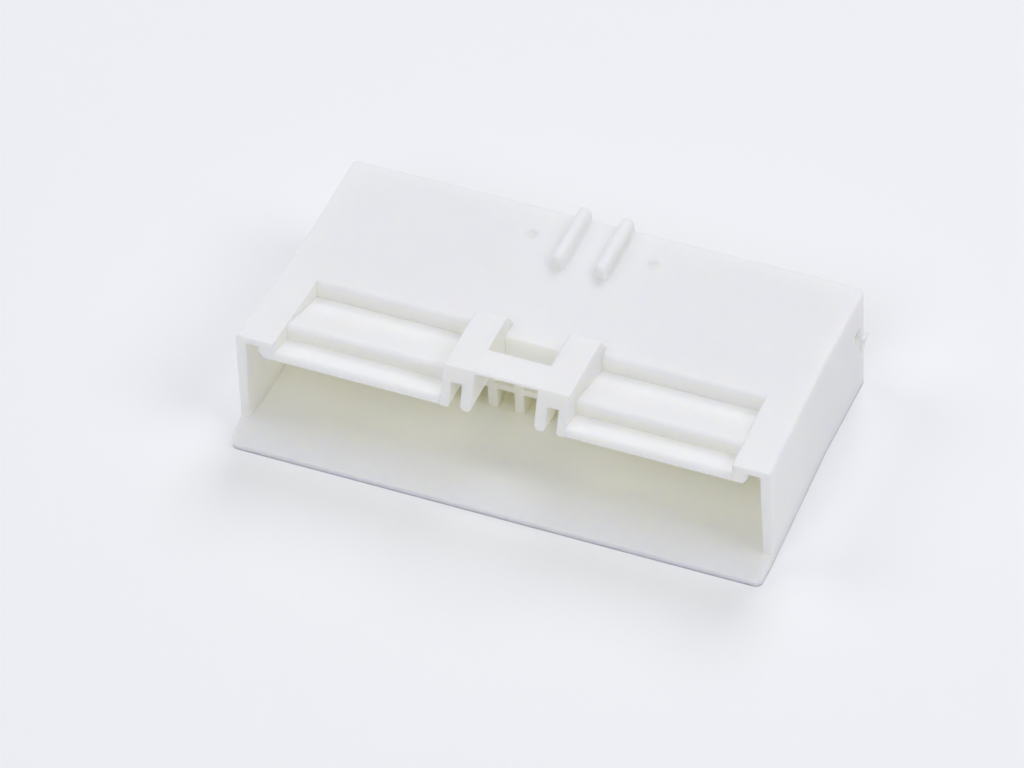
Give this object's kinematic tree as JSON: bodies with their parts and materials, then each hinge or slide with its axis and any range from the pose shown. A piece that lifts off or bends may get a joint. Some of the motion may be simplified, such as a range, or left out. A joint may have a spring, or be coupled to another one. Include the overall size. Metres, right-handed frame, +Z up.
{
  "type": "wire to board connector housing",
  "caption": "White moulded receptacle housing for a wire to board connector: wide mouth with key channels, stepped roof, raised latch bridge and two rows of terminal cavities",
  "frame": {"origin": "centre of the bounding box on the flat underside, Z = 0", "axes": "X along the rows of cavities, the longest extent; -Y out of the mouth, +Y to the wire side; Z up from the underside towards the latch bridge"},
  "size_m": [0.0492, 0.0272, 0.0126],
  "materials": {
    "housing": "satin natural white nylon"
  },
  "bodies": {
    "root": {"housing": "housing"}
  },
  "joints": []
}
